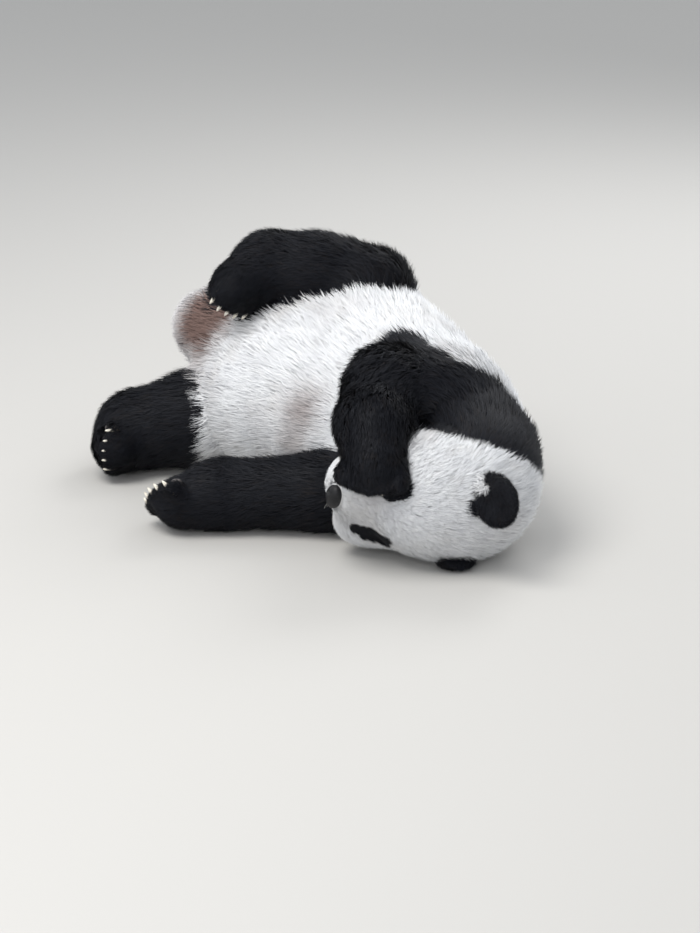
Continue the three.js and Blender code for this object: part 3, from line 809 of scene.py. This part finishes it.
class Coat:
    """The shape of every lock: its root, the ways it lies and stands, and how far it goes."""

    def __init__(self, roots):
        self.roots = roots
        self.clumps = [clumps_of(roots.points, size, CLUMP_SEED + 7 * i)
                       for i, size in enumerate(CLUMP_SIZES)]
        lie = self.lie()
        self.guard = RNG.random(roots.count) < GUARD_SHARE
        self.rise = roots.coat * RNG.uniform(0.4, 1.0, roots.count) ** 0.6
        self.along = unit_rows(flat_on(lie, roots.normals))
        self.across = np.cross(roots.normals, self.along)
        self.size_locks()
        self.shade_locks()
        self.mark_head()
        roots.marks[:, 0] = ramp(roots.marks[:, 0] - self.edge, -0.08, 0.08)

    def lie(self):
        """The way each lock lies: the body's own, changed from clump to clump."""
        roots, (big, small) = self.roots, self.clumps
        lie = unit_rows(roots.lie) + per_clump(big, 0.12, 3) + per_clump(small, 0.10, 3)
        lie += RNG.normal(0, 0.13, (roots.count, 3))
        lie[:, 2] -= 0.05
        own = roots.group == GROUP_NAMES.index("ear_right")
        out = (roots.points[own] - head_point(*EAR_PLACE)) / EAR_RADII[1]
        lie[own] = out * norms(out)[:, None] + 0.5 * CROWN_WAY
        lie[own] += RNG.normal(0, 0.2, (own.sum(), 3))
        self.comb_lips(lie)
        return lie

    def size_locks(self):
        """How far each lock reaches, how wide and how turned it is, and how it joins a clump."""
        roots, (big, small) = self.roots, self.clumps
        self.rise *= 1 + per_clump(big, 0.07) + per_clump(small, 0.08)
        self.reach = roots.coat * (1.2 + 0.45 * RNG.random(roots.count)) + 2
        centre = mean_in(small, roots.points)
        self.pull = flat_on(centre - roots.points, roots.normals) * CLUMP_PULL
        self.width = lock_width(roots.coat) * RNG.uniform(0.6, 1.3, roots.count)
        self.roll = RNG.normal(0, 0.36, roots.count).clip(-0.9, 0.9)
        self.droop = np.zeros(roots.count)
        self.droop = self.overshoot()

    def shade_locks(self):
        """How light each lock is, and how black its root must be for the lock to be black."""
        count, (big, small) = self.roots.count, self.clumps
        shade = 0.5 + per_clump(big, 0.08) + per_clump(small, 0.12) + RNG.normal(0, 0.14, count)
        self.roots.marks[:, 2] = np.clip(shade, 0, 1)
        self.edge = 0.5 + (per_clump(small, 0.13) + RNG.normal(0, 0.11, count)).clip(-0.35, 0.35)

    def comb_lips(self, lie):
        """The hair of the lips grows forward and down, past the nose."""
        forward, side, up = in_head(self.roots.points).T
        lips = (self.roots.group == GROUP_NAMES.index("head")) & (forward > 178)
        lips &= (up < -36) & (np.abs(side) < 34)
        lie[lips] = 0.6 * NOSE_WAY - 0.7 * CROWN_WAY + RNG.normal(0, 0.12, (lips.sum(), 3))
        self.roots.coat[lips] += 4

    def mark_head(self):
        """A lock of the head or nape takes the mark under its middle, so the marks are crisp."""
        body = [GROUP_NAMES.index(name) for name in ("head", "trunk")]
        ear = GROUP_NAMES.index("ear_right")
        near = norms(self.roots.points - HEAD_MIDDLE) < NAPE_REACH
        own = np.flatnonzero(near & np.isin(self.roots.group, body + [ear]))
        points = self.middles(MARK_LEVEL, own)
        zones = evaluate(points)
        black = black_share(points, zones)
        same = np.where(self.roots.group[own] == ear, zones.group == ear,
                        np.isin(zones.group, body))
        self.roots.marks[own[same], 0] = black[same]

    def middles(self, level, chosen=slice(None)):
        """Middle points of the locks at one level between root and tip."""
        roots = self.roots
        lift = (1 - (1 - level) ** 1.8) * self.rise[chosen] - level ** 1.6 * self.droop[chosen]
        points = roots.points[chosen] + roots.normals[chosen] * lift[:, None]
        points += self.along[chosen] * (self.reach[chosen] * level ** 1.15)[:, None]
        points += self.pull[chosen] * level ** 1.5
        points[:, 2] = np.maximum(points[:, 2], FLOOR_GAP)
        return points

    def overshoot(self):
        """How far each tip stands out from where it should be, under the coat's outline."""
        coat = self.roots.coat
        tips = self.middles(1.0)
        wanted = -(coat - self.rise) * 0.6 - coat * 0.04
        wanted[self.guard] = 0.18 * coat[self.guard]
        return np.clip(evaluate(tips).body - wanted, -0.25 * coat, 30)


def chart_places(points, normals):
    """Each root's place on an unwrap of the skin: six charts, by the way that it faces."""
    axis = np.abs(normals).argmax(1)
    sign = normals[np.arange(len(axis)), axis] > 0
    chart = axis * 2 + sign
    low = points.min(0)
    flat = (points - low) / ((points.max(0) - low).max() + 1)
    rest = np.array(((1, 2), (0, 2), (0, 1)))[axis]
    places = np.take_along_axis(flat, rest, 1) * 0.96 + 0.02
    places[:, 0] = (places[:, 0] + chart % 3) / 3
    places[:, 1] = (places[:, 1] + chart // 3) / 2
    return places


def add_locks(name, coat, chosen, style):
    """One coat piece of flat tapered locks."""
    roots = coat.roots
    normals, sideways = roots.normals[chosen], coat.across[chosen]
    turn = coat.roll[chosen][:, None]
    way = np.cos(turn) * sideways + np.sin(turn) * normals
    outward = np.cos(turn) * normals - np.sin(turn) * sideways
    soft = 0.72 * normals + 0.28 * outward
    points, shading, levels, sides = [], [], [], []
    for level, share in zip(style.levels, style.widths):
        middle = coat.middles(level, chosen)
        for side in ((-1, 1) if share else (0,)):  # the tip is one point
            half = (coat.width[chosen] * share / 2 * side)[:, None]
            points.append(middle + half * way)
            shading.append(soft + 0.24 * side * way)
            levels.append(level)
            sides.append(side / 2)
    points = np.stack(points, 1).reshape(-1, 3)
    points[:, 2] = np.maximum(points[:, 2], EDGE_GAP)
    first = (np.arange(len(chosen)) * style.points)[:, None]
    steps = range(0, style.points - 3, 2)
    quads = np.concatenate([first + (step + 1, step, step + 2, step + 3) for step in steps])
    tips = first + (style.points - 2, style.points - 3, style.points - 1)
    obj = mesh_object(name, to_row(points), [quads, tips])
    normals = unit_rows(np.stack(shading, 1).reshape(-1, 3))
    obj.data.normals_split_custom_set_from_vertices(normals)
    marks = np.repeat(roots.marks[chosen], style.points, axis=0)
    marks[:, 3] = np.tile(levels, len(chosen))
    paint(obj, marks)
    places = chart_places(roots.points[chosen], roots.normals[chosen])
    corner = np.stack((sides, np.array(levels) - 0.5), 1) * PATCH
    spots = (places[:, None, :] + corner[None]).reshape(-1, 2)
    layer = obj.data.uv_layers.new(name="OFBake")
    index = fetch(obj.data.loops, "vertex_index", 1, np.int32).ravel()
    layer.data.foreach_set("uv", spots[index].astype(np.float32).ravel())
    return obj


SLOTS = {"trunk": "white_coat", "head": "white_coat", "tail": "tail_coat"}


def finish(piece, material, slot, *replaced):
    """Gives a piece its material and hides the nodes that it stands for; its slot is not used."""
    piece.data.materials.append(material)
    if replaced:
        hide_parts(*replaced)
    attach(piece, "root")


def build_coat(roots, material):
    coat = Coat(roots)
    for g, name in enumerate(GROUP_NAMES):
        style = style_of(name)
        own = np.flatnonzero(roots.group == g)
        own = own[np.argsort(roots.points[own, 1], kind="stable")]
        parts = math.ceil(len(own) * style.triangles / PIECE_TRIANGLES)
        for i, chosen in enumerate(np.array_split(own, parts)):
            label = f"coat_{name}" if parts == 1 else f"coat_{name}_{i + 1}"
            piece = add_locks(label, coat, chosen, style)
            finish(piece, material, SLOTS.get(name, "black_coat"))


# ---------- Nose, claws, pads and whiskers ----------

def tube_faces(sides, rings):
    """Faces of rings between a first point and a last one: quads, then triangles."""
    i, j = np.meshgrid(np.arange(rings - 1), np.arange(sides), indexing="ij")
    here, beside = 1 + i * sides + j, 1 + i * sides + (j + 1) % sides
    quads = np.stack((here, beside, beside + sides, here + sides), -1).reshape(-1, 4)
    j = np.arange(sides)
    last = 1 + (rings - 1) * sides
    start = np.stack((np.zeros(sides, int), 1 + (j + 1) % sides, 1 + j), 1)
    end = np.stack((last + j, last + (j + 1) % sides, np.full(sides, last + sides)), 1)
    return quads, np.concatenate((start, end))


def sphere_grid(rows, columns):
    """Directions on a sphere in rings about the first axis, and the faces between them."""
    rise = np.pi * (np.arange(1, rows) / rows)
    turn = 2 * np.pi * np.arange(columns) / columns
    rise, turn = np.meshgrid(rise, turn, indexing="ij")
    ways = np.stack((np.cos(rise), np.sin(rise) * np.cos(turn), np.sin(rise) * np.sin(turn)), -1)
    ways = np.concatenate(([(1, 0, 0)], ways.reshape(-1, 3), [(-1, 0, 0)]))
    # Its rings run the other way round than a tube's.
    faces = [np.roll(kind[:, ::-1], 1, axis=1) for kind in tube_faces(columns, rows - 1)]
    return ways, faces


def joined_object(name, shells):
    """One object from shells, each with its points and its quads and triangles."""
    starts = np.cumsum([0] + [len(points) for points, _ in shells])
    faces = [np.concatenate([rows[kind] + start for (_, rows), start in zip(shells, starts)])
             for kind in (0, 1)]
    return mesh_object(name, to_row(np.concatenate([points for points, _ in shells])), faces)


def build_nose(material):
    """A broad pad, narrower below, with two comma-shaped nostrils and a groove."""
    ways, faces = sphere_grid(44, 64)
    forward, side, up = ways.T
    nostril = np.zeros(len(ways))
    for aside in (-1, 1):
        inner = ((side - aside * 0.40) / 0.15) ** 2 + ((up + 0.10) / 0.26) ** 2
        tail = ((side - aside * 0.66) / 0.20) ** 2 + ((up + 0.30 + 0.2 * aside * side) / 0.10) ** 2
        nostril += np.exp(-inner) + 0.7 * np.exp(-tail)
    groove = np.exp(-(side / 0.06) ** 2) * ramp(-up, -0.1, 0.3)
    size = 1 - ramp(forward, 0, 0.3) * (0.36 * np.clip(nostril, 0, 1) + 0.08 * groove)
    local = ways * (np.array(NOSE_RADII) * (0.8, 1.0, 1.1)) * size[:, None]
    local[:, 1] *= 1 + 0.16 * up
    points = head_point(*NOSE_PLACE) + local @ HEAD_AXES
    finish(mesh_object("nose_pad", to_row(points), faces), material, "nose_skin", "nose")


def claw_points(root, ahead, palm, claw, sides, rings):
    across = np.cross(palm, ahead)
    points = [root]
    turn = 2 * np.pi * np.arange(sides) / sides
    for ring in range(rings):
        along = ring / rings
        middle = root + ahead * claw["length"] * along + palm * claw["bend"] * along ** 2
        height = HORN_WIDTH * claw["radius"] * (1 - along) ** 0.5
        points.extend(middle + np.outer(CLAW_FLATNESS * height * np.cos(turn), across)
                      + np.outer(height * np.sin(turn), palm))
    return np.array(points + [root + ahead * claw["length"] + palm * claw["bend"]])


WHISKER_COUNT = 26
WHISKER_SIDES, WHISKER_RINGS = 3, 6
CLAW_SIDES, CLAW_RINGS = 12, 10
CLAW_LIFT = 6  # of the claw's root above the middle of the toe
HORN_WIDTH = 1.2  # of a claw's horn over the plain claw


def build_claws(leg, material):
    """The claws of a paw, smooth, each in its node's place."""
    paw = PAWS[leg]
    way = unit(paw.ahead + 0.1 * paw.palm)
    for i, (_, tip) in enumerate(paw.toes()):
        root = tip - paw.ahead * paw.claw["buried"] - paw.palm * CLAW_LIFT
        points = claw_points(root, way, paw.palm, paw.claw, CLAW_SIDES, CLAW_RINGS)
        points = root + (points - root) * HORN_SHARES[leg]
        faces = tube_faces(CLAW_SIDES, CLAW_RINGS)
        piece = mesh_object(f"horn_{leg}_{i + 1}", to_row(points), list(faces))
        marks = np.zeros((len(points), 4))
        marks[:, 3] = np.clip((points - root) @ way / paw.claw["length"], 0, 1)
        paint(piece, marks)
        finish(piece, material, "claw_horn", f"claw_{leg}_{i + 1}")


def build_whiskers(material):
    """Stiff white hairs on both sides of the muzzle, each a thin bent spike."""
    shells = []
    for i in range(WHISKER_COUNT):
        side = 1 if i % 2 else -1
        place = (RNG.uniform(165, 205), side * RNG.uniform(22, 40), RNG.uniform(-44, -22))
        way = unit(RNG.uniform(0.1, 0.8) * NOSE_WAY + side * RIGHT_WAY
                   + RNG.uniform(-0.5, 0.1) * CROWN_WAY)
        shape = {"length": RNG.uniform(38, 62), "radius": 0.4, "bend": RNG.uniform(8, 20)}
        bend = across_from(-NOSE_WAY, way)
        points = claw_points(head_point(*place), way, bend, shape, WHISKER_SIDES, WHISKER_RINGS)
        shells.append((points, tube_faces(WHISKER_SIDES, WHISKER_RINGS)))
    finish(joined_object("whiskers", shells), material, "white_coat")


def build_pads(leg, material):
    """The bare pads of a paw: one under each toe and a broad one behind them."""
    paw = PAWS[leg]
    ways, faces = sphere_grid(12, 20)
    shells = [(middle + (ways * radii) @ paw.axes, faces) for middle, radii in paw.pads()]
    finish(joined_object(f"pads_{leg}", shells), material, "nose_skin")


# ---------- Materials ----------

class Nodes:
    """A material's node tree, with short ways to add to it."""

    def __init__(self, name):
        self.material = bpy.data.materials.new(name)
        self.material.use_nodes = True
        self.tree = self.material.node_tree
        self.shader = self.tree.nodes["Principled BSDF"]

    def add(self, kind, **settings):
        node = self.tree.nodes.new(kind)
        for key, value in settings.items():
            setattr(node, key, value)
        return node

    def join(self, source, target):
        self.tree.links.new(source, target)

    def colour(self, source):
        self.join(source, self.shader.inputs["Base Color"])

    def set(self, **values):
        for key, value in values.items():
            self.shader.inputs[key.replace("_", " ")].default_value = value

    def mix(self, factor, first, second, blend="MIX"):
        """A mix of two colours or colour sockets by a number or a socket."""
        node = self.add("ShaderNodeMix", data_type="RGBA", blend_type=blend)
        for socket, value in ((node.inputs[0], factor), (node.inputs[6], first),
                              (node.inputs[7], second)):
            if isinstance(value, bpy.types.NodeSocket):
                self.join(value, socket)
            elif isinstance(value, tuple):
                socket.default_value = (*value, 1)
            else:
                socket.default_value = value
        return node.outputs[2]

    def marks(self):
        """The marks that paint() puts on the points."""
        return self.add("ShaderNodeAttribute", attribute_name="coat", attribute_type="GEOMETRY")

    def texture(self, node, **values):
        """Sets a texture's inputs and places it on the object itself."""
        for key, value in values.items():
            node.inputs[key].default_value = value
        place = self.add("ShaderNodeTexCoord").outputs["Object"]
        self.join(place, node.inputs["Vector"])
        return node

    def noise(self, scale):
        node = self.add("ShaderNodeTexNoise")
        return self.texture(node, Scale=scale, Detail=3.0, Roughness=0.6).outputs["Fac"]

    def pebbles(self, scale):
        """Height of a fine pebbled skin."""
        node = self.add("ShaderNodeTexVoronoi", feature="SMOOTH_F1")
        return self.texture(node, Scale=scale).outputs["Distance"]

    def bump(self, height, strength, distance):
        node = self.add("ShaderNodeBump")
        node.inputs["Strength"].default_value = strength
        node.inputs["Distance"].default_value = distance
        self.join(height, node.inputs["Height"])
        self.join(node.outputs["Normal"], self.shader.inputs["Normal"])

    def spread(self, source, low, high, to_low=0.0, to_high=1.0):
        node = self.add("ShaderNodeMapRange", interpolation_type="SMOOTHSTEP")
        keys = ("From Min", "From Max", "To Min", "To Max")
        for key, value in zip(keys, (low, high, to_low, to_high)):
            node.inputs[key].default_value = value
        self.join(source, node.inputs["Value"])
        return node.outputs["Result"]


# Colours of the coat. The roots' darker colours are painted shade, where the locks shade one
# another near the skin.
WHITE_ROOT_PAINTED_SHADE = (0.66, 0.66, 0.66)
WHITE_TIP = (0.86, 0.87, 0.88)
WHITE_SHADE = (0.60, 0.61, 0.64)
BLACK_ROOT_PAINTED_SHADE = (0.002, 0.002, 0.003)
# The black tips' blue tint is a painted sheen.
BLACK_TIP_AND_PAINTED_SHEEN = (0.007, 0.008, 0.012)
BLACK_BROWN = (0.016, 0.012, 0.011)
STAIN_AND_SHADE_BROWN = (0.19, 0.125, 0.108)


def coat_material(name, fine):
    nodes = Nodes(name)
    marks = nodes.marks()
    parts = nodes.add("ShaderNodeSeparateColor")
    nodes.join(marks.outputs["Color"], parts.inputs["Color"])
    black, stain_and_shade, shade = parts.outputs
    # Painted shade: each lock runs from its darker root to its lighter tip.
    tip = nodes.spread(marks.outputs["Alpha"], 0, 0.8)
    dirt = nodes.spread(nodes.noise(14), 0.45, 0.75)
    white = nodes.mix(tip, WHITE_ROOT_PAINTED_SHADE, WHITE_TIP)
    white = nodes.mix(nodes.spread(shade, 0.2, 0.8, 0.5, 0.0), white, WHITE_SHADE)
    white = nodes.mix(nodes.spread(dirt, 0, 1, 0, 0.12), white, (0.50, 0.44, 0.36))
    # Brown of stains and dust, with painted shade under the raised hind paw.
    white = nodes.mix(stain_and_shade, white, STAIN_AND_SHADE_BROWN)
    # Black runs from a painted-shade root to a tip with a painted blue sheen.
    dark = nodes.mix(tip, BLACK_ROOT_PAINTED_SHADE, BLACK_TIP_AND_PAINTED_SHEEN)
    dark = nodes.mix(nodes.spread(shade, 0.55, 1, 0, 0.6), dark, BLACK_BROWN)
    nodes.colour(nodes.mix(black, white, dark))
    nodes.set(Roughness=0.6 if fine else 0.85, Specular_IOR_Level=0.16, Sheen_Weight=0.03,
              Sheen_Roughness=0.5)
    return nodes.material


def mottled(name, scale, first, second):
    """A material that goes from one colour to another in patches."""
    nodes = Nodes(name)
    nodes.colour(nodes.mix(nodes.noise(scale), first, second))
    return nodes


def nose_material():
    nodes = mottled("nose_leather", 120, (0.004, 0.004, 0.005), (0.014, 0.014, 0.016))
    nodes.set(Roughness=0.5, Specular_IOR_Level=0.3)
    nodes.bump(nodes.pebbles(700), 0.5, 0.0006)
    return nodes.material


def whisker_material():
    nodes = mottled("whisker", 60, (0.75, 0.74, 0.70), (0.90, 0.90, 0.88))
    nodes.set(Roughness=0.4)
    return nodes.material


def pad_material():
    nodes = mottled("pad_leather", 90, (0.05, 0.045, 0.045), (0.14, 0.125, 0.12))
    nodes.set(Roughness=0.7)
    nodes.bump(nodes.pebbles(500), 0.6, 0.0008)
    return nodes.material


def horn_material():
    nodes = Nodes("horn")
    along = nodes.spread(nodes.marks().outputs["Alpha"], 0.1, 0.7)
    colour = nodes.mix(along, (0.42, 0.35, 0.26), (0.80, 0.76, 0.66))
    streaks = nodes.spread(nodes.noise(260), 0.4, 0.7)
    nodes.colour(nodes.mix(nodes.spread(streaks, 0, 1, 0, 0.35), colour, (0.35, 0.27, 0.19)))
    nodes.set(Roughness=0.32, Coat_Weight=0.15)
    nodes.bump(nodes.noise(420), 0.2, 0.0004)
    return nodes.material


# ---------- The scene ----------

FOCAL_PIXELS = 2500
IMAGE_HEIGHT = 933
ELEVATION = math.radians(19)
CAMERA_DISTANCE = 4680
AIM = np.array((0.0, 0.0, 150.0))
LIT_PLACE = (0, 0, 0.2)


def add_camera():
    data = bpy.data.cameras.new("camera")
    data.lens = FOCAL_PIXELS / IMAGE_HEIGHT * 36
    data.sensor_width = 36
    data.clip_end = 60
    camera = bpy.data.objects.new("camera", data)
    back = np.array((0, -math.cos(ELEVATION), math.sin(ELEVATION)))
    camera.location = to_row(AIM + back * CAMERA_DISTANCE)
    camera.rotation_euler = (math.pi / 2 - ELEVATION, 0, 0)
    bpy.context.scene.collection.objects.link(camera)
    bpy.context.scene.camera = camera


def add_light(name, place, size, power, colour):
    """A round light that looks at the middle of the animal."""
    data = bpy.data.lights.new(name, "AREA")
    data.shape = "DISK"
    data.size = size
    data.energy = power
    data.color = colour
    light = bpy.data.objects.new(name, data)
    light.location = place
    way = Vector(LIT_PLACE) - Vector(place)
    light.rotation_euler = way.to_track_quat("-Z", "Y").to_euler()
    bpy.context.scene.collection.objects.link(light)


def add_surroundings():
    world = bpy.data.worlds.new("studio")
    world.use_nodes = True
    background = world.node_tree.nodes["Background"]
    background.inputs["Color"].default_value = (0.93, 0.96, 1.0, 1)
    background.inputs["Strength"].default_value = 0.75
    bpy.context.scene.world = world
    bpy.context.scene.view_settings.view_transform = "Standard"
    floor = mesh_object("floor", np.array(((-9, -9, 0), (9, -9, 0), (9, 9, 0), (-9, 9, 0)), float),
                        [np.array(((0, 1, 2, 3),))])
    nodes = Nodes("floor")
    nodes.set(Base_Color=(0.52, 0.51, 0.49, 1), Roughness=0.9)
    floor.data.materials.append(nodes.material)
    add_light("key", (-1.4, -1.2, 3.6), 2.4, 110, (1.0, 0.98, 0.95))
    add_light("fill", (-1.2, -3.2, 1.3), 2.0, 26, (0.97, 0.98, 1.0))
    add_light("back", (1.6, 2.4, 2.6), 2.0, 50, (1.0, 1.0, 1.0))


FLESH = ["head", "neck", "chest", "abdomen", "tail", "ear_right", "ear_left"]
FLESH += [f"{leg}_{part}" for leg in LEGS for part in ("upper", "lower", "paw")]


def finish_eyes():
    """A dark brown glossy finish for the frame's own eyes."""
    nodes = mottled("eye", 180, (0.008, 0.005, 0.004), (0.03, 0.017, 0.01))
    nodes.set(Roughness=0.06, Coat_Weight=0.6, Coat_Roughness=0.03)
    for name in ("eye_right", "eye_left"):
        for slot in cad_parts[name].material_slots:
            slot.material = nodes.material


def build_panda():
    """The skin, its coat, and the pieces that carry a finish of their own."""
    skin, points, zones, marks = build_skin()
    finish(skin, coat_material("skin", False), "white_coat", *FLESH)
    normals = fetch(skin.data.vertices, "normal", 3).astype(float)
    build_coat(Roots(points, triangles_of(skin), normals, zones, marks),
               coat_material("coat", True))
    build_nose(nose_material())
    build_whiskers(whisker_material())
    horn, leather = horn_material(), pad_material()
    for leg in LEGS:
        build_claws(leg, horn)
        build_pads(leg, leather)


add_camera()
add_surroundings()
build_panda()
finish_eyes()
